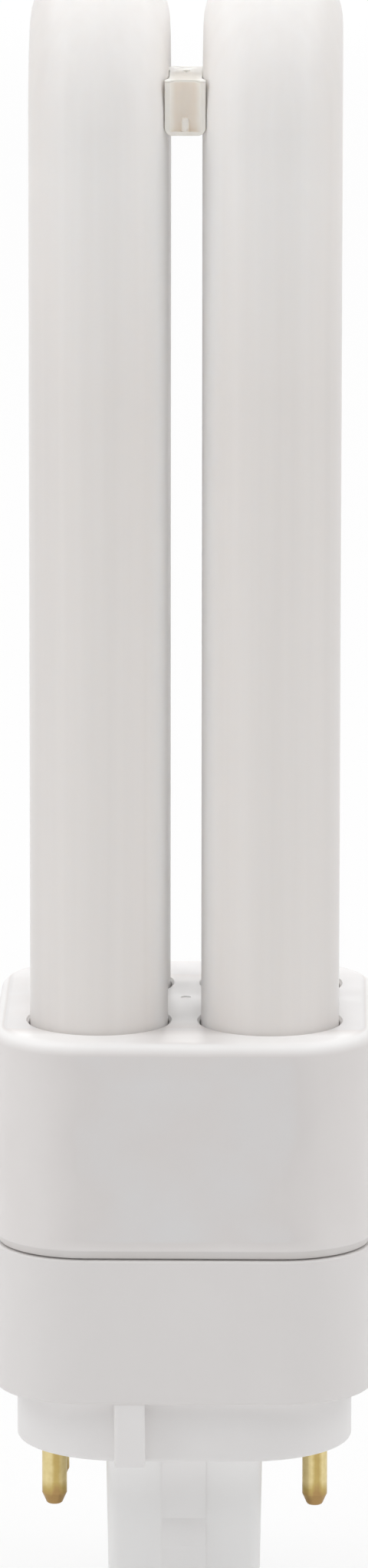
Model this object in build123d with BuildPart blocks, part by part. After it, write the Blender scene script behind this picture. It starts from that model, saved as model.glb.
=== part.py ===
from build123d import *
import os
from math import radians, sqrt, tan

# Four-pin LED plug-in lamp: two opal U tubes in a moulded cap, on a keyed base with a latching post.
# Millimetres. X runs across the two tubes, Y from the front legs to the rear legs, Z up to the bends.
# The origin is the middle of the four pins on the seating plane, which is the underside of the collar.

# Contact pins
pin_spacing_x = 23.0
pin_spacing_y = 8.0
pin_diameter = 2.2
pin_length = 6.9
pin_tip_diameter = 1.3
pin_tip_length = 1.0
pin_tip_rounding = 0.3
pin_fit = 0.05
pin_root_overhang = 0.2
pin_head_overhang = 0.2
pin_head_room = 0.2
pin_head_height = 0.8

# Collar, the part of the base that seats in the lampholder
collar_margin_y = 11.45
collar_height = 5.6
collar_corner_radius = 9.5
collar_wall = 1.5
collar_floor = 1.8
collar_edge_radius = 0.4

# Key ribs on the collar
key_rib_width = 2.67
key_rib_offset = 4.6
key_rib_proud = 1.7
key_rib_edge_radius = 0.25

# Housing, split by a seam into the base and the cap
housing_step = 1.8
housing_corner_radius = 8.0
housing_wall = 1.5
housing_edge_radius = 0.3
base_height = 12.9
base_rim_radius = 0.2
deck_thickness = 1.5
seam_gap = 0.15
tongue_height = 2.0
tongue_thickness = 0.7
tongue_clearance = 0.1
cap_height = 19.05
cap_roof = 1.6
cap_top_radius = 1.1
cap_rim_bevel_height = 0.75
cap_rim_bevel_inset = 0.35
gate_mark_diameter = 0.9
gate_mark_depth = 0.08
gate_mark_back = 1.5

# Centre post with a latch rib and notch on its front and rear
post_width = 13.78
post_depth = 16.0
post_length = 16.0
post_draft = 1.0
post_corner_radius = 1.0
post_wall = 1.5
post_floor = 1.5
post_lead_in = 0.8
latch_rib_width = 3.85
latch_rib_proud = 0.8
latch_notch_depth = 6.95
latch_notch_height = 2.55
latch_rib_end_margin = 1.4

# U tubes and their sockets
tube_diameter = 12.0
tube_wall = 1.0
leg_gap = 2.9
leg_height = 78.8
socket_clearance = 0.15
socket_wall = 1.0
socket_depth = 8.0
socket_floor = 1.2
socket_mouth_bevel = 0.2

# Spacer clip
clip_lap = 0.3
clip_height = 4.75
clip_below_top = 9.85
clip_edge_thickness = 0.25
clip_edge_radius = 0.12
clip_clearance = 0.05
clip_corner_radius = 0.7
clip_back = 0.4
clip_pad_depth = 2.8
clip_groove_radius = 2.2
clip_groove_depth = 0.45
clip_bottom_lip = 0.35
clip_bump_diameter = 0.7
clip_bump_height = 1.6
clip_nick_width = 0.7
clip_nick_depth = 0.2
clip_nick_length = 1.6

# Driver board and the LED strips that stand on it
board_thickness = 1.6
board_clearance = 0.2
strip_margin = 1.2
strip_thickness = 1.0
strip_slot_clearance = 0.15
strip_top_gap = 2.0
led_length = 3.5
led_width = 2.8
led_height = 0.7
led_pitch = 9.0
led_count = 8
led_top_margin = 3.0

# Driver components
component_edge_gap = 0.8
core_width = 11.0
core_height = 10.0
core_depth = 5.0
core_yoke = 1.9
core_middle_leg = 2.6
core_window = 2.3
core_offset = 1.5
winding_clearance = 0.15
winding_thickness = 1.8
winding_corner_radius = 0.8
capacitor_diameter = 6.3
capacitor_length = 11.0
capacitor_edge_radius = 0.4
rectifier_length = 4.8
rectifier_width = 4.0
rectifier_height = 2.5
chip_length = 5.0
chip_width = 3.9
chip_height = 1.5
component_bevel = 0.3
film_length = 7.0
film_width = 3.5
film_height = 7.5
film_edge_radius = 0.5
resistor_diameter = 2.4
resistor_length = 6.5
resistor_waist = 0.3
lead_diameter = 0.8

# Sizes that follow from the driving ones
pin_radius = pin_diameter / 2
pin_root_radius = pin_radius + pin_root_overhang
pin_head_radius = pin_root_radius + pin_head_overhang
collar_width = pin_spacing_x + 2 * (pin_head_radius + pin_head_room + collar_wall)
collar_depth = pin_spacing_y + 2 * collar_margin_y
housing_width = collar_width + 2 * housing_step
housing_depth = collar_depth + 2 * housing_step
tube_radius = tube_diameter / 2
leg_pitch = tube_diameter + leg_gap
socket_radius = tube_radius + socket_clearance
strip_width = tube_diameter - 2 * tube_wall - 2 * strip_margin
board_depth = housing_depth - 2 * (housing_wall + board_clearance)
tongue_inset = housing_wall - tongue_thickness

# Heights above the seating plane
deck_top_z = collar_height + deck_thickness
board_top_z = deck_top_z + board_thickness
base_rim_z = collar_height + base_height
cap_rim_z = base_rim_z + seam_gap
cap_top_z = cap_rim_z + cap_height
socket_floor_z = cap_top_z - socket_depth
spring_z = cap_top_z + leg_height
tube_top_z = spring_z + leg_pitch / 2 + tube_radius
strip_top_z = spring_z - strip_top_gap
pin_head_top_z = collar_floor + pin_head_height

# The four legs and the four pins stand at the corners of two rectangles
corners = {
    "front_left": (-1, -1),
    "front_right": (1, -1),
    "rear_left": (-1, 1),
    "rear_right": (1, 1),
}

os.makedirs("parts", exist_ok=True)


def save(piece, name):
    piece.part.label = name
    export_step(piece.part, f"parts/{name}.step")


def rounded_block(inset, bottom, top, mode=Mode.ADD):
    """Extrude the housing outline, drawn in by inset, between two heights."""
    with BuildSketch(Plane.XY.offset(bottom)) as outline:
        RectangleRounded(
            housing_width - 2 * inset,
            housing_depth - 2 * inset,
            housing_corner_radius - inset,
        )
    extrude(outline.sketch, amount=top - bottom, mode=mode)


def collar_block(inset, bottom, top, mode=Mode.ADD):
    """Extrude the collar outline, drawn in by inset, between two heights."""
    with BuildSketch(Plane.XY.offset(bottom)) as outline:
        RectangleRounded(
            collar_width - 2 * inset,
            collar_depth - 2 * inset,
            collar_corner_radius - inset,
        )
    extrude(outline.sketch, amount=top - bottom, mode=mode)


def post_taper(height):
    """How far each side of the post has drawn in at a height below the seating plane."""
    return -height * tan(radians(post_draft))


def post_block(inset, top, bottom, mode=Mode.ADD):
    """Loft the drafted post, drawn in by inset, between two heights."""
    sections = []
    for height in (top, bottom):
        draw_in = 2 * (inset + post_taper(height))
        with BuildSketch(Plane.XY.offset(height)) as section:
            RectangleRounded(
                post_width - draw_in,
                post_depth - draw_in,
                post_corner_radius,
            )
        sections.append(section.sketch)
    loft(sections, mode=mode)


# Base shell: lower housing, collar, key ribs and post in one moulding
with BuildPart() as base_shell:
    rounded_block(0, collar_height, base_rim_z)
    fillet(base_shell.edges().group_by(Axis.Z)[0], radius=housing_edge_radius)
    fillet(base_shell.edges().group_by(Axis.Z)[-1], radius=base_rim_radius)
    rounded_block(tongue_inset, base_rim_z - housing_wall, base_rim_z + tongue_height)
    collar_block(0, 0, deck_top_z)
    fillet(base_shell.edges().group_by(Axis.Z)[0], radius=collar_edge_radius)

    # Key ribs, the rear one turned half a turn from the front one
    with BuildSketch() as key_ribs:
        for side in (-1, 1):
            with Locations((side * key_rib_offset, side * collar_depth / 2)):
                Rectangle(key_rib_width, 2 * key_rib_proud)
        rib_corners = key_ribs.vertices().group_by(Axis.Y)
        fillet(rib_corners[0] + rib_corners[-1], radius=key_rib_edge_radius)
    extrude(amount=collar_height + housing_edge_radius)

    # Post, with a bevelled end for lead-in
    post_block(0, collar_floor, -post_length)
    chamfer(base_shell.edges().group_by(Axis.Z)[0], length=post_lead_in)

    # Latch ribs: each has a notch with a square top and a floor that ramps back out to the rib's face
    rib_end = -(post_length - latch_rib_end_margin)
    notch_top = -latch_notch_depth
    notch_bottom = notch_top - latch_notch_height
    root_y = post_depth / 2 - post_wall / 2
    face_y = post_depth / 2
    crest_y = face_y + latch_rib_proud
    for side in (-1, 1):
        with BuildSketch(Plane.YZ) as rib_profile:
            with BuildLine():
                Polyline(
                    (side * root_y, collar_floor),
                    (side * crest_y, collar_floor),
                    (side * (crest_y - post_taper(notch_top)), notch_top),
                    (side * (face_y - post_taper(notch_top)), notch_top),
                    (side * (crest_y - post_taper(notch_bottom)), notch_bottom),
                    (side * (crest_y - post_taper(rib_end)), rib_end + latch_rib_proud),
                    (side * (face_y - post_taper(rib_end)), rib_end),
                    (side * root_y, rib_end),
                    close=True,
                )
            make_face()
        extrude(rib_profile.sketch, amount=latch_rib_width / 2, both=True)

    # Hollow: housing down to the deck, collar down to its floor, then the post
    rounded_block(housing_wall, deck_top_z, base_rim_z + tongue_height, mode=Mode.SUBTRACT)
    collar_block(collar_wall, collar_floor, deck_top_z, mode=Mode.SUBTRACT)
    post_block(post_wall, collar_floor, -(post_length - post_floor), mode=Mode.SUBTRACT)

    # Pin holes through the collar's floor
    with BuildSketch() as pin_holes:
        with GridLocations(pin_spacing_x, pin_spacing_y, 2, 2):
            Circle(pin_root_radius + pin_fit)
    extrude(pin_holes.sketch, amount=collar_floor, mode=Mode.SUBTRACT)
save(base_shell, "base_shell")


# Top cap: upper housing that sits on the base's tongue, with four socket cups for the tube legs
with BuildPart() as top_cap:
    rounded_block(0, cap_rim_z, cap_top_z)
    fillet(top_cap.edges().group_by(Axis.Z)[-1], radius=cap_top_radius)
    chamfer(
        top_cap.edges().group_by(Axis.Z)[0],
        length=cap_rim_bevel_inset,
        length2=cap_rim_bevel_height,
        reference=top_cap.faces().sort_by(Axis.Z)[0],
    )
    rounded_block(housing_wall, cap_rim_z, cap_top_z - cap_roof, mode=Mode.SUBTRACT)
    rounded_block(
        tongue_inset - tongue_clearance,
        cap_rim_z,
        base_rim_z + tongue_height,
        mode=Mode.SUBTRACT,
    )
    with BuildSketch(Plane.XY.offset(socket_floor_z - socket_floor)) as cups:
        with GridLocations(leg_pitch, leg_pitch, 2, 2):
            Circle(socket_radius + socket_wall)
    extrude(cups.sketch, amount=socket_depth + socket_floor - cap_roof / 2)
    with BuildSketch(Plane.XY.offset(socket_floor_z)) as bores:
        with GridLocations(leg_pitch, leg_pitch, 2, 2):
            Circle(socket_radius)
    extrude(bores.sketch, amount=socket_depth, mode=Mode.SUBTRACT)
    mouths = top_cap.faces().sort_by(Axis.Z)[-1].inner_wires()
    chamfer([mouth.edge() for mouth in mouths], length=socket_mouth_bevel)
    with BuildSketch(Plane.XY.offset(socket_floor_z)) as strip_slots:
        with GridLocations(leg_pitch, leg_pitch, 2, 2):
            Rectangle(
                strip_width + 2 * strip_slot_clearance,
                strip_thickness + 2 * strip_slot_clearance,
            )
    extrude(strip_slots.sketch, amount=-socket_floor, mode=Mode.SUBTRACT)
    with BuildSketch(Plane.XY.offset(cap_top_z)) as gate_mark:
        with Locations((0, gate_mark_back)):
            Circle(gate_mark_diameter / 2)
    extrude(gate_mark.sketch, amount=-gate_mark_depth, mode=Mode.SUBTRACT)
save(top_cap, "top_cap")


# U tubes: a ring swept up the front leg, round the bend and down the rear leg
for name, side in (("u_tube_left", -1), ("u_tube_right", 1)):
    tube_x = side * leg_pitch / 2
    front_y = -leg_pitch / 2
    rear_y = leg_pitch / 2
    with BuildPart() as u_tube:
        with BuildLine(Plane.YZ.offset(tube_x)) as tube_path:
            Line((front_y, socket_floor_z), (front_y, spring_z))
            ThreePointArc((front_y, spring_z), (0, spring_z + rear_y), (rear_y, spring_z))
            Line((rear_y, spring_z), (rear_y, socket_floor_z))
        with BuildSketch(Plane.XY.offset(socket_floor_z)):
            with Locations((tube_x, front_y)):
                Circle(tube_radius)
                Circle(tube_radius - tube_wall, mode=Mode.SUBTRACT)
        sweep(path=tube_path.wires()[0])
    save(u_tube, name)


# Spacer clip: a grooved front plate that laps the front legs, a neck between them and a pad between all four
half_pitch = leg_pitch / 2
clip_top_z = tube_top_z - clip_below_top
clip_bottom_z = clip_top_z - clip_height
clip_width = leg_gap + 2 * clip_lap
clip_reach = tube_radius + clip_clearance
neck_width = leg_gap - 2 * clip_clearance
plate_edge_y = -half_pitch - sqrt(clip_reach**2 - (tube_radius - clip_lap) ** 2)
plate_front_y = plate_edge_y - clip_edge_thickness
pad_front_y = clip_back - clip_pad_depth
pad_radius = sqrt(pad_front_y**2 + (clip_top_z - spring_z) ** 2)
pad_width = 2 * (half_pitch - sqrt(clip_reach**2 - (half_pitch - pad_radius) ** 2))
groove_floor_y = plate_front_y + clip_groove_depth
bump_radius = clip_bump_diameter / 2

with BuildPart() as spacer_clip:
    # Plate, hollowed behind to the round of the two front legs
    with BuildSketch(Plane.XZ.offset(-plate_front_y)) as plate:
        with Locations((0, (clip_bottom_z + clip_top_z) / 2)):
            Rectangle(clip_width, clip_height)
        fillet(plate.vertices().group_by(Axis.Y)[0], radius=clip_corner_radius)
    extrude(amount=plate_front_y + half_pitch)
    fillet(spacer_clip.faces().sort_by(Axis.Y)[0].edges(), radius=clip_edge_radius)
    with BuildSketch(Plane.XY.offset(clip_bottom_z)):
        with Locations((-half_pitch, -half_pitch), (half_pitch, -half_pitch)):
            Circle(clip_reach)
    extrude(amount=clip_height, mode=Mode.SUBTRACT)

    # Neck and pad
    with BuildSketch(Plane.XY.offset(clip_bottom_z)):
        with Locations((0, (pad_front_y - half_pitch) / 2)):
            Rectangle(neck_width, pad_front_y + half_pitch)
        with Locations((0, (pad_front_y + clip_back) / 2)):
            Rectangle(pad_width, clip_pad_depth)
    extrude(amount=clip_height)

    # Groove down the plate, open at the top, with a rounded bump on its floor
    with BuildSketch(Plane.XY.offset(clip_bottom_z + clip_bottom_lip)):
        with Locations((0, groove_floor_y - clip_groove_radius)):
            Circle(clip_groove_radius)
    extrude(amount=clip_height, mode=Mode.SUBTRACT)
    with BuildSketch(Plane.XY.offset(clip_bottom_z + clip_bottom_lip)):
        with Locations((0, groove_floor_y)):
            Circle(bump_radius)
    extrude(amount=clip_bump_height - clip_bottom_lip - bump_radius)
    with Locations((0, groove_floor_y, clip_bottom_z + clip_bump_height - bump_radius)):
        Sphere(bump_radius)

    # Nick in the neck's top, just in front of the pad
    with BuildSketch(Plane.XZ.offset(-pad_front_y)):
        with BuildLine():
            Polyline(
                (-clip_nick_width / 2, clip_top_z),
                (0, clip_top_z - clip_nick_depth),
                (clip_nick_width / 2, clip_top_z),
                close=True,
            )
        make_face()
    extrude(amount=clip_nick_length, mode=Mode.SUBTRACT)
save(spacer_clip, "spacer_clip")


# Contact pins: turned brass with a thicker root in the collar's floor, a head inside and a tapered tip
for corner, (side_x, side_y) in corners.items():
    pin_foot = (side_x * pin_spacing_x / 2, side_y * pin_spacing_y / 2, 0)
    with BuildPart() as contact_pin:
        with BuildSketch(Plane(origin=pin_foot, x_dir=(1, 0, 0), z_dir=(0, -1, 0))):
            with BuildLine():
                Polyline(
                    (0, -pin_length),
                    (pin_tip_diameter / 2, -pin_length),
                    (pin_radius, -pin_length + pin_tip_length),
                    (pin_radius, 0),
                    (pin_root_radius, 0),
                    (pin_root_radius, collar_floor),
                    (pin_head_radius, collar_floor),
                    (pin_head_radius, pin_head_top_z),
                    (0, pin_head_top_z),
                    close=True,
                )
            make_face()
        revolve(axis=Axis(pin_foot, (0, 0, 1)))
        fillet(contact_pin.edges().group_by(Axis.Z)[0], radius=pin_tip_rounding)
    save(contact_pin, f"contact_pin_{corner}")


# Pin leads: one wire from each pin's head up to the board
for corner, (side_x, side_y) in corners.items():
    with BuildPart() as pin_lead:
        with BuildSketch(Plane.XY.offset(pin_head_top_z)):
            with Locations((side_x * pin_spacing_x / 2, side_y * pin_spacing_y / 2)):
                Circle(lead_diameter / 2)
        extrude(amount=deck_top_z - pin_head_top_z)
    save(pin_lead, f"pin_lead_{corner}")


# Driver board, resting on the deck inside the base
with BuildPart() as driver_board:
    rounded_block(housing_wall + board_clearance, deck_top_z, board_top_z)
save(driver_board, "driver_board")


# LED strips stand on the board and run up each leg, with their emitters facing outwards
first_led_z = strip_top_z - led_top_margin - (led_count - 1) * led_pitch
for corner, (side_x, side_y) in corners.items():
    leg_x = side_x * leg_pitch / 2
    leg_y = side_y * leg_pitch / 2
    with BuildPart() as led_strip:
        with BuildSketch(Plane.XY.offset(board_top_z)):
            with Locations((leg_x, leg_y)):
                Rectangle(strip_width, strip_thickness)
        extrude(amount=strip_top_z - board_top_z)
    save(led_strip, f"led_strip_{corner}")

    strip_face_y = leg_y + side_y * strip_thickness / 2
    with BuildPart() as led_packages:
        with BuildSketch(Plane.XZ.offset(-strip_face_y)):
            for index in range(led_count):
                with Locations((leg_x, first_led_z + index * led_pitch)):
                    Rectangle(led_width, led_length)
        extrude(amount=-side_y * led_height)
    save(led_packages, f"led_packages_{corner}")


# Transformer: an E core standing on the board, its winding round the middle leg
core_x = core_offset - core_width / 2
window_height = core_height - 2 * core_yoke
window_middle_z = board_top_z + core_height / 2
window_offset = (core_middle_leg + core_window) / 2
with BuildPart() as transformer_core:
    with BuildSketch(Plane.XZ.offset(-core_depth / 2)):
        with Locations((core_x, window_middle_z)):
            Rectangle(core_width, core_height)
        with Locations(
            (core_x - window_offset, window_middle_z),
            (core_x + window_offset, window_middle_z),
        ):
            Rectangle(core_window, window_height, mode=Mode.SUBTRACT)
    extrude(amount=core_depth)
save(transformer_core, "transformer_core")

winding_inner_width = core_middle_leg + 2 * winding_clearance
winding_inner_depth = core_depth + 2 * winding_clearance
with BuildPart() as transformer_winding:
    with BuildSketch(Plane.XY.offset(board_top_z + core_yoke)):
        with Locations((core_x, 0)):
            RectangleRounded(
                winding_inner_width + 2 * winding_thickness,
                winding_inner_depth + 2 * winding_thickness,
                winding_corner_radius,
            )
            Rectangle(winding_inner_width, winding_inner_depth, mode=Mode.SUBTRACT)
    extrude(amount=window_height - winding_clearance)
save(transformer_winding, "transformer_winding")


# Bulk capacitor, hanging from the board into the hollow post
with BuildPart() as bulk_capacitor:
    with BuildSketch(Plane.XY.offset(deck_top_z)):
        Circle(capacitor_diameter / 2)
    extrude(amount=-capacitor_length)
    fillet(bulk_capacitor.edges().group_by(Axis.Z)[0], radius=capacitor_edge_radius)
save(bulk_capacitor, "bulk_capacitor")


def moulded_block(x, y, length, width, height):
    """A bevelled component body standing on the board."""
    with BuildSketch(Plane.XY.offset(board_top_z)) as footprint:
        with Locations((x, y)):
            Rectangle(length, width)
    block = extrude(footprint.sketch, amount=height)
    chamfer(block.edges().group_by(Axis.Z)[-1], length=component_bevel)


# Bridge rectifier beside the transformer, driver chip behind the rear strips
rectifier_x = core_offset + component_edge_gap + rectifier_length / 2
with BuildPart() as bridge_rectifier:
    moulded_block(rectifier_x, 0, rectifier_length, rectifier_width, rectifier_height)
save(bridge_rectifier, "bridge_rectifier")

chip_y = board_depth / 2 - component_edge_gap - chip_width / 2
with BuildPart() as driver_chip:
    moulded_block(0, chip_y, chip_length, chip_width, chip_height)
save(driver_chip, "driver_chip")


# Film capacitor in front of the front strips
with BuildPart() as film_capacitor:
    with BuildSketch(Plane.XY.offset(board_top_z)):
        with Locations((0, component_edge_gap + film_width / 2 - board_depth / 2)):
            RectangleRounded(film_length, film_width, film_edge_radius)
    extrude(amount=film_height)
    fillet(film_capacitor.edges().group_by(Axis.Z)[-1], radius=film_edge_radius)
save(film_capacitor, "film_capacitor")


# Fusible resistor lying on the board beside the rectifier, with a slightly waisted body
resistor_radius = resistor_diameter / 2
resistor_end = resistor_length / 2
resistor_cap = resistor_length / 4
resistor_x = rectifier_x + rectifier_length / 2 + component_edge_gap + resistor_radius
resistor_middle = (resistor_x, 0, board_top_z + resistor_radius)
with BuildPart() as fusible_resistor:
    with BuildSketch(Plane(origin=resistor_middle, x_dir=(0, 1, 0), z_dir=(1, 0, 0))):
        with BuildLine():
            Polyline(
                (-resistor_end, 0),
                (-resistor_end, resistor_radius),
                (resistor_cap - resistor_end, resistor_radius),
                (-resistor_cap / 2, resistor_radius - resistor_waist),
                (resistor_cap / 2, resistor_radius - resistor_waist),
                (resistor_end - resistor_cap, resistor_radius),
                (resistor_end, resistor_radius),
                (resistor_end, 0),
                close=True,
            )
        make_face()
    revolve(axis=Axis(resistor_middle, (0, 1, 0)))
save(fusible_resistor, "fusible_resistor")
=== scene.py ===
from math import cos, pi, radians, sin

import bpy
from mathutils import Matrix, Vector


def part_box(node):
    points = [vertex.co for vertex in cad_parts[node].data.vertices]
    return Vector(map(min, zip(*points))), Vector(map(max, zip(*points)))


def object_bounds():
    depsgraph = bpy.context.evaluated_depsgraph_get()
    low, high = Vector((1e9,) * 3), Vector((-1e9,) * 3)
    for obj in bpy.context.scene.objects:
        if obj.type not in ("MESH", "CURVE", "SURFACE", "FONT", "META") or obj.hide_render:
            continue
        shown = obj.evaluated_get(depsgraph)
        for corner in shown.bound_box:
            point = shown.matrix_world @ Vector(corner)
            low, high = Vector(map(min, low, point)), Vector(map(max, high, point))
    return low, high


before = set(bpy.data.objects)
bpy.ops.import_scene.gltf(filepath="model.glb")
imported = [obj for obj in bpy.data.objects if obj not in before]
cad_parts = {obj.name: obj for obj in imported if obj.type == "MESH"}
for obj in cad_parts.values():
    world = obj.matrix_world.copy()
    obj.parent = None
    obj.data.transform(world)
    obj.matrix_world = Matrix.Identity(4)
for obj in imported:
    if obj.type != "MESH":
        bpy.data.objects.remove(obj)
cad_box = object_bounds()
mm = 0.001

# Camera, fitted to the photograph's 480 by 2044 frame, in metres, degrees and pixels
photo_width = 480
photo_height = 2044
photo_focal = 11891.06
photo_axis = (242.72, 1047.0)
camera_place = Vector((0.01093, -0.78204, 0.21415))
camera_turn = radians(0.80)
camera_dip = radians(11.472)
camera_roll = radians(0.063)
camera_sensor = 36.0

# Studio: the room's own light, the floor, and the soft boxes by place, size and radiance
white = (1.0, 1.0, 1.0, 1.0)
room_light = 0.02
floor_size = 8.0
floor_tone = (0.88, 0.88, 0.88, 1.0)
floor_glow = 0.8
overhead_boxes = {
    "rear_top": {"place": (0.0, 0.55, 1.1), "size": (3.6, 1.6), "radiance": 1.45},
    "front_top": {"place": (0.0, -0.7, 1.1), "size": (3.6, 1.6), "radiance": 0.80},
}
standing_boxes = {
    "left_side": {"place": (-1.04, -0.36, 0.35), "size": (0.55, 1.6), "radiance": 1.44},
    "right_side": {"place": (1.04, -0.36, 0.35), "size": (0.55, 1.6), "radiance": 1.05},
    "low_front": {"place": (0.0, -1.3, 0.2), "size": (1.6, 0.4), "radiance": 0.86},
    "rear_strip": {"place": (0.0, 1.2, 0.5), "size": (0.25, 1.0), "radiance": 1.5},
}

# Levels and places on the lamp, in metres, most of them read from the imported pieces
post_end_z = cad_box[0].z
tube_top_z = cad_box[1].z
collar_bottom_z = 0.0
collar_top_z = 5.6 * mm
latch_rib_x = 1.925 * mm
cap_low, cap_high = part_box("top_cap")
cap_top_z = cap_high.z
cap_bevel_z = cap_low.z + 0.75 * mm
cap_edge_foot_z = cap_top_z - 1.1 * mm
cap_edge_crest_z = cap_top_z - 0.3 * mm
cap_face_x = 9 * mm
cap_corner_x = 12 * mm
tube_low, tube_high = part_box("u_tube_left")
tube_radius = (tube_high.x - tube_low.x) / 2
tube_outer_x = abs((tube_low.x + tube_high.x) / 2) + tube_radius
leg_y = tube_high.y - tube_radius
spring_z = tube_top_z - tube_high.y
pin_low, pin_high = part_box("contact_pin_front_left")
pin_x = abs((pin_low.x + pin_high.x) / 2)
pin_tip_z = pin_low.z
pin_reflection_line_aside = 0.2 * mm
clip_low, clip_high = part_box("spacer_clip")
clip_front_y = clip_low.y
clip_bottom_z = clip_low.z
clip_top_z = clip_high.z
clip_neck_end_y = clip_front_y + 5 * mm
clip_pad_y = clip_front_y + 8 * mm
capacitor_stripe_y = 2.6 * mm

# How sharply one tone ends at the next, and the range that most of a noise lies in
tone_border = 0.1 * mm
grain_low = 0.3
grain_high = 0.7


def add_node(finish, kind, **inputs):
    """Add a node to a finish and set its inputs by name, with _ for a space."""
    made = finish.node_tree.nodes.new(kind)
    for name, value in inputs.items():
        made.inputs[name.replace("_", " ")].default_value = value
    return made


def wire(finish, source, target):
    finish.node_tree.links.new(source, target)


def shader_of(finish):
    return finish.node_tree.nodes["Principled BSDF"]


def new_finish(name, **inputs):
    """A node material whose shader sockets are set by name, with _ for a space."""
    finish = bpy.data.materials.new(name)
    finish.use_nodes = True
    for socket, value in inputs.items():
        shader_of(finish).inputs[socket.replace("_", " ")].default_value = value
    return finish


def lamp_coordinates(finish):
    return add_node(finish, "ShaderNodeTexCoord").outputs["Object"]


def grain(finish, size, detail=2.0, stretch=(1.0, 1.0, 1.0)):
    """A noise with blotches about size across, drawn out along an axis by a small stretch."""
    placed = add_node(finish, "ShaderNodeMapping", Scale=stretch)
    noise = add_node(finish, "ShaderNodeTexNoise", Scale=1 / size, Detail=detail)
    wire(finish, lamp_coordinates(finish), placed.inputs["Vector"])
    wire(finish, placed.outputs["Vector"], noise.inputs["Vector"])
    return noise.outputs["Fac"]


def work_out(finish, operation, result, *others):
    """Combine a pattern with more patterns or numbers, one after another."""
    for other in others:
        step = add_node(finish, "ShaderNodeMath")
        step.operation = operation
        for place, value in enumerate((result, other)):
            if isinstance(value, (int, float)):
                step.inputs[place].default_value = value
            else:
                wire(finish, value, step.inputs[place])
        result = step.outputs["Value"]
    return result


def spread(finish, value, low, high, to_low=0.0, to_high=1.0):
    """Stretch the part of a value between low and high over a new range."""
    ranged = add_node(
        finish, "ShaderNodeMapRange", From_Min=low, From_Max=high, To_Min=to_low, To_Max=to_high
    )
    wire(finish, value, ranged.inputs["Value"])
    return ranged.outputs["Result"]


def unsigned(finish, value):
    """A value without its sign."""
    return work_out(finish, "ABSOLUTE", value, 0)


def axis_of(finish, axis):
    """One of the lamp's own coordinates, in metres."""
    split = add_node(finish, "ShaderNodeSeparateXYZ")
    wire(finish, lamp_coordinates(finish), split.inputs["Vector"])
    return split.outputs[axis]


def aside(finish, axis):
    """How far a point lies to either side of the lamp's middle along one axis, in metres."""
    return unsigned(finish, axis_of(finish, axis))


def from_axis(finish):
    """The distance from the lamp's upright axis, in metres."""
    level = add_node(finish, "ShaderNodeMapping", Scale=(1.0, 1.0, 0.0))
    wire(finish, lamp_coordinates(finish), level.inputs["Vector"])
    reach = add_node(finish, "ShaderNodeVectorMath")
    reach.operation = "LENGTH"
    wire(finish, level.outputs["Vector"], reach.inputs[0])
    return reach.outputs["Value"]


def tone(finish, pattern, *stops):
    """Colour the finish by a pattern, with stops of (place, (red, green, blue))."""
    ramp = add_node(finish, "ShaderNodeValToRGB")
    marks = ramp.color_ramp.elements
    while len(marks) < len(stops):
        marks.new(1.0)
    for mark, (place, colour) in zip(marks, stops):
        mark.position = place
        mark.color = (*colour, 1.0)
    wire(finish, pattern, ramp.inputs["Fac"])
    wire(finish, ramp.outputs["Color"], shader_of(finish).inputs["Base Color"])


def gloss(finish, pattern, low, high):
    """Let the roughness wander between two values with a pattern."""
    roughness = spread(finish, pattern, grain_low, grain_high, low, high)
    wire(finish, roughness, shader_of(finish).inputs["Roughness"])


def relief(finish, pattern, height, strength=1.0):
    """Raise and sink the surface by a pattern, up to height metres."""
    bump = add_node(finish, "ShaderNodeBump", Strength=strength, Distance=height)
    wire(finish, pattern, bump.inputs["Height"])
    wire(finish, bump.outputs["Normal"], shader_of(finish).inputs["Normal"])


def moulded_white(name, shade, *stops):
    """Satin white moulding: a fine spark-eroded grain, and a slow drift of tone on a pattern of
    painted light and shade.
    """
    finish = new_finish(name, Specular_IOR_Level=0.45)
    drift = work_out(finish, "MULTIPLY", grain(finish, 9 * mm, detail=3.0), 0.2)
    tone(finish, work_out(finish, "ADD", shade(finish), drift), *stops)
    gloss(finish, grain(finish, 3 * mm), 0.42, 0.5)
    relief(finish, grain(finish, 0.12 * mm, detail=1.0), 0.004 * mm)
    return finish


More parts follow.
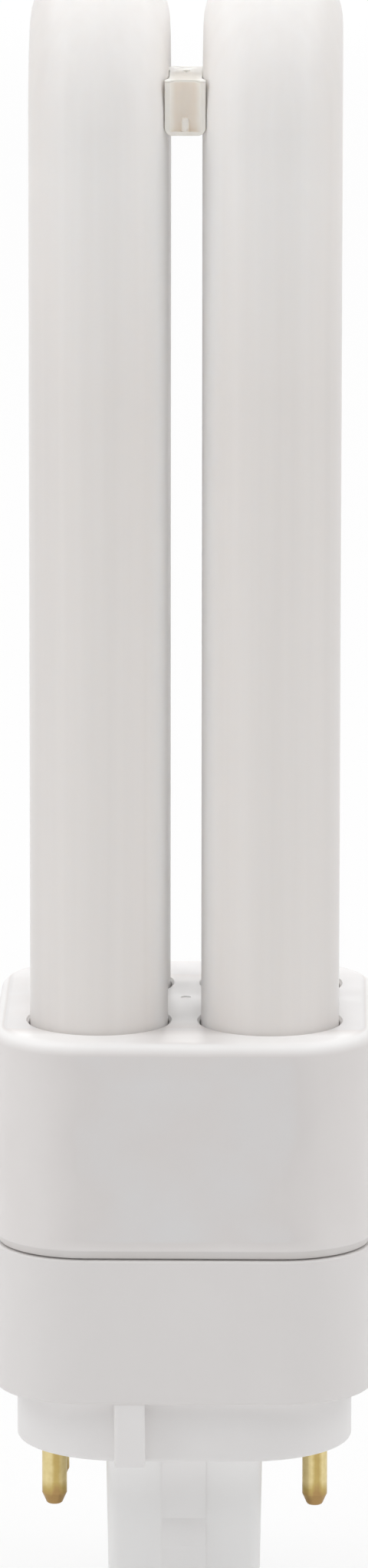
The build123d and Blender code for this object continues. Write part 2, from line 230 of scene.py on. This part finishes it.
def cap_white():
    """The cap's white, with painted light and shade: painted shade deepest on the rim's bevel and
    deep on the flat faces with a painted highlight line under them, and painted light palest on
    the rounded edge and on the roof between and before the legs."""

    def painted_shading_of_cap(finish):
        height = axis_of(finish, "Z")
        beside = aside(finish, "X")

        # Wall, from the bevel to the rounded edge, with painted shade on the bevel and the flat
        # faces and a painted highlight line just above the bevel
        bevel_painted_shade = spread(finish, height, cap_bevel_z - tone_border, cap_bevel_z, 0.0, 0.3)
        painted_shade_on_face = spread(finish, beside, cap_corner_x, cap_face_x, 0.0, 0.1)
        below_edge = spread(finish, height, cap_edge_crest_z, cap_edge_foot_z)
        # A painted highlight line just above the bevel, under the flat faces' painted shade
        painted_highlight_line = spread(
            finish, height, cap_bevel_z + 0.15 * mm, cap_bevel_z + 0.9 * mm, -0.3, 1.0
        )
        painted_face_shading = work_out(finish, "MULTIPLY", painted_shade_on_face, below_edge, painted_highlight_line)
        painted_wall_shading = work_out(finish, "SUBTRACT", bevel_painted_shade, painted_face_shading)
        # Painted highlight on the rounded edge between wall and roof
        edge_painted_highlight = spread(finish, height, cap_edge_foot_z, cap_edge_crest_z, 0.0, 0.35)

        # Roof, with painted light between and before the legs where the tubes shade it, and the
        # flat of the roof taken back down from the edge's painted highlight
        middle = spread(finish, beside, 6 * mm, 1.5 * mm, 0.0, 0.75)
        inside = spread(finish, aside(finish, "Y"), 11 * mm, 7 * mm)
        painted_light_between_legs = work_out(finish, "MULTIPLY", middle, inside)
        # Painted light on the roof's front band before the legs, stronger away from the middle
        sides_painted_light = spread(finish, beside, 2 * mm, 5 * mm, 0.25, 0.5)
        before = spread(finish, axis_of(finish, "Y"), -11 * mm, -13.5 * mm)
        painted_light_before_legs = work_out(finish, "MULTIPLY", sides_painted_light, before)
        flat = spread(finish, height, cap_top_z - 0.15 * mm, cap_top_z - 0.03 * mm)
        pattern = work_out(finish, "ADD", painted_light_between_legs, painted_light_before_legs, -0.5)
        roof_painted_light = work_out(finish, "MULTIPLY", flat, pattern)
        return work_out(finish, "ADD", painted_wall_shading, edge_painted_highlight, roof_painted_light)

    return moulded_white(
        "cap_white",
        painted_shading_of_cap,
        # Tones: the bevel's painted shade, the roof, the flat faces' painted shade, the walls,
        # the rounded edge's painted highlight and the painted light between the legs
        (0.1, (0.705, 0.675, 0.657)),
        (0.25, (0.765, 0.754, 0.754)),
        (0.31, (0.757, 0.726, 0.714)),
        (0.4, (0.795, 0.763, 0.75)),
        (0.75, (0.945, 0.932, 0.925)),
        (1.0, (0.97, 0.962, 0.958)),
    )


def base_white():
    """The base's white, with painted light: a paler collar below the housing's edge and the thin
    post palest, where the housing shades them, the post's sides beyond the latch rib palest of
    all.
    """

    def painted_light_of_base(finish):
        height = axis_of(finish, "Z")
        # Painted light on the collar and the post, where the housing shades them
        collar_painted_light = spread(finish, height, collar_top_z, collar_top_z - tone_border, 0.0, 0.4)
        post_painted_light = spread(finish, height, collar_bottom_z, collar_bottom_z - tone_border, 0.0, 0.2)
        sides_painted_light = spread(finish, aside(finish, "X"), latch_rib_x, latch_rib_x + 0.2 * mm, 1.0, 2.0)
        return work_out(finish, "ADD", collar_painted_light, work_out(finish, "MULTIPLY", post_painted_light, sides_painted_light))

    return moulded_white(
        "base_white",
        painted_light_of_base,
        (0.1, (0.79, 0.765, 0.755)),
        (0.5, (0.865, 0.848, 0.842)),
        (0.7, (0.925, 0.915, 0.91)),
        (0.9, (0.97, 0.965, 0.96)),
    )


def opal_tube():
    """Opal tube: glossy and milky, with painted shade at its outer side and painted light where
    the legs face each other and towards the bend, and faint draw lines that in part paint
    reflection streaks."""
    finish = new_finish(
        "opal_tube",
        Specular_IOR_Level=0.25,
        Subsurface_Weight=0.25,
        Subsurface_Radius=(1.0, 0.9, 0.8),
        Subsurface_Scale=1.0 * mm,
    )
    height = axis_of(finish, "Z")
    # Painted shade on the outer side of each leg
    outer_edge_x = tube_outer_x - 0.05 * tube_radius
    wall_x = tube_outer_x - 0.5 * tube_radius
    painted_wall_shading = spread(finish, aside(finish, "X"), outer_edge_x, wall_x, 0.0, 0.35)
    # Painted light where the legs face each other and shade one another
    facing_start = leg_y + 0.8 * tube_radius
    facing_full = leg_y + 0.45 * tube_radius
    inward = spread(finish, from_axis(finish), facing_start, facing_full)
    legs = spread(finish, height, spring_z + 3 * mm, spring_z - 6 * mm, 0.0, 0.6)
    facing_painted_light = work_out(finish, "MULTIPLY", inward, legs)
    # Painted light growing towards the bend
    upper_painted_light = spread(finish, height, spring_z - 24 * mm, spring_z - 5 * mm, -0.06, 0.25)
    # Faint draw lines, whose tone in part stands in for painted reflection streaks
    draw_lines = grain(finish, 1.2 * mm, stretch=(1.0, 1.0, 0.02))
    lines_and_painted_streaks = work_out(finish, "MULTIPLY", draw_lines, 0.22)
    tone(
        finish,
        work_out(finish, "ADD", painted_wall_shading, facing_painted_light, upper_painted_light, lines_and_painted_streaks),
        (0.0, (0.765, 0.733, 0.712)),
        (0.42, (0.865, 0.83, 0.805)),
        (1.0, (0.98, 0.962, 0.948)),
    )
    gloss(finish, grain(finish, 6 * mm), 0.29, 0.34)
    relief(finish, draw_lines, 0.01 * mm, strength=0.4)
    return finish


def clip_cream():
    """Natural nylon: milky, creamiest in the groove, in part painted shade of the hollow, paler
    on its lip, with a painted highlight on its bump and painted shade on its neck and top, and
    smoothest and, by painted light, palest towards the back."""
    finish = new_finish(
        "clip_cream",
        Specular_IOR_Level=0.45,
        Subsurface_Weight=0.3,
        Subsurface_Radius=(1.0, 0.9, 0.75),
        Subsurface_Scale=0.6 * mm,
    )
    beside = aside(finish, "X")
    depth = axis_of(finish, "Y")
    height = axis_of(finish, "Z")
    # Creamier in the groove than at the sides, the groove's depth in part painted shade of the
    # hollow
    bands = spread(finish, beside, 0.8 * mm, 1.3 * mm, 0.0, 0.3)
    lip = spread(finish, height, clip_bottom_z + 0.45 * mm, clip_bottom_z + 0.3 * mm, 0.0, 0.3)
    # Painted highlight down the bump's crest
    bump_highlight_wide = spread(finish, beside, 0.4 * mm, 0.22 * mm, 0.0, 0.3)
    bump_highlight_tall = spread(finish, height, clip_bottom_z + 1.65 * mm, clip_bottom_z + 1.3 * mm)
    bump = work_out(finish, "MULTIPLY", bump_highlight_wide, bump_highlight_tall)
    front = work_out(finish, "MAXIMUM", bands, lip, bump)
    # Painted shade on the neck and along the top edge, dulling their light
    neck_painted_shade = spread(finish, depth, clip_front_y + 0.5 * mm, clip_front_y + 2 * mm, 0.0, 0.5)
    top = spread(finish, height, clip_top_z - 0.25 * mm, clip_top_z - 0.05 * mm, 0.0, 0.5)
    # Painted light, palest towards the back
    pad_painted_light = spread(finish, depth, clip_neck_end_y, clip_pad_y, 0.0, 0.4)
    mottle = work_out(finish, "MULTIPLY", grain(finish, 1.5 * mm), 0.2)
    tone(
        finish,
        work_out(finish, "ADD", mottle, front, work_out(finish, "MAXIMUM", neck_painted_shade, top), pad_painted_light),
        (0.05, (0.87, 0.78, 0.68)),
        (0.4, (0.95, 0.91, 0.85)),
        (0.6, (0.80, 0.765, 0.705)),
        (1.0, (0.985, 0.975, 0.93)),
    )
    polished = spread(finish, depth, clip_neck_end_y, clip_pad_y, 0.3, -0.1)
    gloss(finish, work_out(finish, "ADD", grain(finish, 1.0 * mm), polished), 0.4, 0.7)
    relief(finish, grain(finish, 0.2 * mm), 0.006 * mm)
    return finish


def pin_brass():
    """Turned brass: fine tool rings, browner towards the tip, with a painted reflection line down
    the pin.
    """
    finish = new_finish("pin_brass", Metallic=1.0)
    tip = spread(finish, axis_of(finish, "Z"), pin_tip_z + 2.2 * mm, pin_tip_z + 0.4 * mm)
    # Painted reflection: a dark line down each pin, a little to one side of its middle
    across = work_out(finish, "SUBTRACT", axis_of(finish, "X"), pin_reflection_line_aside)
    from_reflection_line = unsigned(finish, work_out(finish, "SUBTRACT", unsigned(finish, across), pin_x))
    painted_reflection_line = spread(finish, from_reflection_line, 0.45 * mm, 0.15 * mm, 0.0, 0.4)
    stain = work_out(finish, "MULTIPLY", grain(finish, 0.6 * mm), 0.3)
    tone(
        finish,
        work_out(finish, "ADD", tip, painted_reflection_line, stain),
        (0.1, (0.75, 0.63, 0.33)),
        (0.5, (0.52, 0.39, 0.145)),
        (1.0, (0.40, 0.255, 0.105)),
    )
    gloss(finish, grain(finish, 0.5 * mm), 0.29, 0.38)
    rings = grain(finish, 0.1 * mm, detail=1.0, stretch=(0.05, 0.05, 1.0))
    relief(finish, rings, 0.006 * mm)
    return finish


def board_green():
    """Glass-cloth laminate under green solder mask, with its weave just showing."""
    finish = new_finish("board_green", Specular_IOR_Level=0.5)
    cloth = add_node(finish, "ShaderNodeTexChecker", Scale=1 / (0.8 * mm))
    wire(finish, lamp_coordinates(finish), cloth.inputs["Vector"])
    weave = cloth.outputs["Fac"]
    showing = work_out(finish, "MULTIPLY", weave, 0.2)
    mottle = work_out(finish, "ADD", showing, grain(finish, 3 * mm))
    tone(finish, mottle, (0.3, (0.03, 0.20, 0.08)), (0.9, (0.06, 0.30, 0.13)))
    gloss(finish, grain(finish, 2 * mm), 0.3, 0.4)
    relief(finish, weave, 0.01 * mm, strength=0.3)
    return finish


def strip_white():
    """White solder mask on the light strips, faintly yellowed in patches."""
    finish = new_finish("strip_white", Specular_IOR_Level=0.5)
    tone(finish, grain(finish, 5 * mm), (0.3, (0.84, 0.84, 0.81)), (0.7, (0.80, 0.79, 0.73)))
    gloss(finish, grain(finish, 2 * mm), 0.3, 0.42)
    relief(finish, grain(finish, 0.3 * mm), 0.005 * mm)
    return finish


def phosphor_yellow():
    """Clear-topped phosphor of the light emitters."""
    finish = new_finish("phosphor_yellow", Specular_IOR_Level=0.5, Coat_Weight=0.5)
    powder = grain(finish, 0.4 * mm, detail=4.0)
    tone(finish, powder, (0.3, (0.86, 0.66, 0.10)), (0.7, (0.90, 0.75, 0.20)))
    gloss(finish, grain(finish, 0.8 * mm), 0.18, 0.26)
    return finish


def ferrite_grey():
    """Sintered ferrite: matt, dark and slightly pitted."""
    finish = new_finish("ferrite_grey", Specular_IOR_Level=0.4)
    speckle = grain(finish, 0.3 * mm, detail=5.0)
    tone(finish, speckle, (0.35, (0.05, 0.05, 0.055)), (0.7, (0.10, 0.10, 0.105)))
    gloss(finish, grain(finish, 0.4 * mm), 0.55, 0.75)
    relief(finish, grain(finish, 0.15 * mm, detail=4.0), 0.02 * mm)
    return finish


def winding_tape():
    """Polyester tape in overlapping turns round the winding."""
    finish = new_finish("winding_tape", Specular_IOR_Level=0.5)
    lap = add_node(finish, "ShaderNodeTexWave", Scale=1 / (9 * mm), Distortion=0.6)
    lap.bands_direction = "Z"
    wire(finish, lamp_coordinates(finish), lap.inputs["Vector"])
    turns = lap.outputs["Fac"]
    tone(finish, turns, (0.0, (0.70, 0.50, 0.06)), (1.0, (0.84, 0.66, 0.12)))
    gloss(finish, grain(finish, 1.5 * mm), 0.29, 0.38)
    relief(finish, turns, 0.05 * mm, strength=0.5)
    return finish


def capacitor_sleeve():
    """Dark shrink sleeve with one pale polarity stripe down its rear."""
    finish = new_finish("capacitor_sleeve", Specular_IOR_Level=0.5)
    rear = axis_of(finish, "Y")
    stripe = spread(finish, rear, capacitor_stripe_y, capacitor_stripe_y + 0.05 * mm)
    mottle = work_out(finish, "MULTIPLY", grain(finish, 2 * mm), 0.2)
    tone(
        finish,
        work_out(finish, "ADD", stripe, mottle),
        (0.05, (0.02, 0.025, 0.05)),
        (0.3, (0.04, 0.045, 0.08)),
        (0.9, (0.55, 0.56, 0.58)),
    )
    gloss(finish, grain(finish, 1.0 * mm), 0.17, 0.26)
    return finish


def chip_resin():
    """Black moulding resin of the chip and the rectifier."""
    finish = new_finish("chip_resin", Specular_IOR_Level=0.4)
    speckle = grain(finish, 0.5 * mm, detail=4.0)
    tone(finish, speckle, (0.3, (0.03, 0.03, 0.03)), (0.7, (0.055, 0.055, 0.05)))
    gloss(finish, grain(finish, 0.6 * mm), 0.5, 0.65)
    relief(finish, grain(finish, 0.1 * mm), 0.008 * mm)
    return finish


def film_case():
    """Dipped red lacquer of the film capacitor, a little uneven."""
    finish = new_finish("film_case", Specular_IOR_Level=0.5)
    cloud = grain(finish, 2.5 * mm, detail=3.0)
    tone(finish, cloud, (0.3, (0.48, 0.07, 0.035)), (0.7, (0.56, 0.10, 0.05)))
    gloss(finish, grain(finish, 2 * mm), 0.15, 0.25)
    relief(finish, grain(finish, 1.5 * mm), 0.04 * mm, strength=0.5)
    return finish


def resistor_coat():
    """Lacquered body with plain value bands along its length."""
    finish = new_finish("resistor_coat", Specular_IOR_Level=0.5)
    bands = add_node(finish, "ShaderNodeTexWave", Scale=1 / (5 * mm), Distortion=0.0)
    bands.bands_direction = "Y"
    wire(finish, lamp_coordinates(finish), bands.inputs["Vector"])
    tone(
        finish,
        bands.outputs["Fac"],
        (0.0, (0.20, 0.38, 0.34)),
        (0.8, (0.24, 0.42, 0.37)),
        (0.95, (0.30, 0.10, 0.05)),
    )
    gloss(finish, grain(finish, 0.8 * mm), 0.29, 0.4)
    return finish


def tinned_wire():
    """Tinned copper of the leads, dull in patches."""
    finish = new_finish("tinned_wire", Metallic=1.0)
    tone(finish, grain(finish, 0.3 * mm), (0.3, (0.62, 0.62, 0.61)), (0.7, (0.74, 0.74, 0.73)))
    gloss(finish, grain(finish, 0.2 * mm), 0.29, 0.4)
    return finish


def dress_lamp():
    """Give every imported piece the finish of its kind."""
    kinds = {
        "base_shell": base_white(),
        "top_cap": cap_white(),
        "u_tube": opal_tube(),
        "spacer_clip": clip_cream(),
        "contact_pin": pin_brass(),
        "pin_lead": tinned_wire(),
        "led_strip": strip_white(),
        "led_packages": phosphor_yellow(),
        "driver_board": board_green(),
        "transformer_core": ferrite_grey(),
        "transformer_winding": winding_tape(),
        "bulk_capacitor": capacitor_sleeve(),
        "film_capacitor": film_case(),
        "fusible_resistor": resistor_coat(),
    }
    chips = chip_resin()
    for name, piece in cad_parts.items():
        kind = next((kind for kind in kinds if name.startswith(kind)), None)
        piece.data.materials.clear()
        piece.data.materials.append(kinds[kind] if kind else chips)


def seen_rays(finish):
    """One where the camera, a reflection or a refraction looks, and zero for bounced light."""
    path = add_node(finish, "ShaderNodeLightPath")
    rays = ("Is Camera Ray", "Is Glossy Ray", "Is Transmission Ray")
    return work_out(finish, "MAXIMUM", *(path.outputs[ray] for ray in rays))


def mixed(finish, share, first, second, output):
    """Send a mix of two shaders to the finish's output, with a share of the second."""
    either = add_node(finish, "ShaderNodeMixShader")
    wire(finish, share, either.inputs["Fac"])
    wire(finish, first, either.inputs[1])
    wire(finish, second, either.inputs[2])
    wire(finish, either.outputs["Shader"], finish.node_tree.nodes[output].inputs["Surface"])


def white_room():
    """A white surround where it is seen, and a soft even light on the lamp."""
    room = bpy.data.worlds.new("white_room")
    bpy.context.scene.world = room
    room.use_nodes = True
    soft = room.node_tree.nodes["Background"]
    soft.inputs["Color"].default_value = white
    soft.inputs["Strength"].default_value = room_light
    bright = add_node(room, "ShaderNodeBackground", Color=white)
    shaders = (soft.outputs["Background"], bright.outputs["Background"])
    mixed(room, seen_rays(room), *shaders, "World Output")


def pale_floor():
    """A white floor under the post, which keeps the lamp's shadow."""
    bpy.ops.mesh.primitive_plane_add(size=floor_size, location=(0, 0, post_end_z))
    floor = bpy.context.active_object
    floor.name = "floor"
    finish = new_finish(
        "floor_white", Base_Color=floor_tone, Roughness=1.0, Specular_IOR_Level=0.0
    )
    glow = add_node(finish, "ShaderNodeEmission")
    share = work_out(finish, "MULTIPLY", seen_rays(finish), floor_glow)
    shaders = (shader_of(finish).outputs["BSDF"], glow.outputs["Emission"])
    mixed(finish, share, *shaders, "Material Output")
    floor.data.materials.append(finish)


def soft_box(name, aim, place, size, radiance):
    """A rectangular soft box, as wide and deep as size, that faces a point."""
    lamp = bpy.data.lights.new(name, "AREA")
    lamp.shape = "RECTANGLE"
    lamp.size, lamp.size_y = size
    lamp.energy = radiance * pi * size[0] * size[1]
    box = bpy.data.objects.new(name, lamp)
    box.location = place
    box.rotation_euler = (aim - Vector(place)).to_track_quat("-Z", "Y").to_euler()
    box.visible_camera = False
    bpy.context.scene.collection.objects.link(box)


def studio():
    """The room and floor, with soft boxes that face straight down or the cap's roof."""
    white_room()
    pale_floor()
    for name, box in overhead_boxes.items():
        soft_box(name, Vector(box["place"]) - Vector((0, 0, 1)), **box)
    for name, box in standing_boxes.items():
        soft_box(name, Vector((0, 0, cap_top_z)), **box)


def photo_camera():
    """The photograph's camera: its place, aim, lens and the shift of its frame."""
    ahead = Vector(
        (
            -sin(camera_turn) * cos(camera_dip),
            cos(camera_turn) * cos(camera_dip),
            -sin(camera_dip),
        )
    )
    level = Vector((cos(camera_turn), sin(camera_turn), 0))
    upward = level.cross(ahead)
    right = level * cos(camera_roll) + upward * sin(camera_roll)
    top = upward * cos(camera_roll) - level * sin(camera_roll)
    view = bpy.data.cameras.new("photo_camera")
    view.sensor_width = camera_sensor
    view.lens = photo_focal / photo_height * camera_sensor
    view.shift_x = (photo_width / 2 - photo_axis[0]) / photo_height
    view.shift_y = (photo_axis[1] - photo_height / 2) / photo_height
    camera = bpy.data.objects.new("photo_camera", view)
    turn = Matrix((right, top, -ahead)).transposed().to_4x4()
    camera.matrix_world = Matrix.Translation(camera_place) @ turn
    bpy.context.scene.collection.objects.link(camera)
    bpy.context.scene.camera = camera


bpy.ops.object.select_all(action="DESELECT")
bpy.context.scene.view_settings.view_transform = "Standard"
dress_lamp()
studio()
photo_camera()
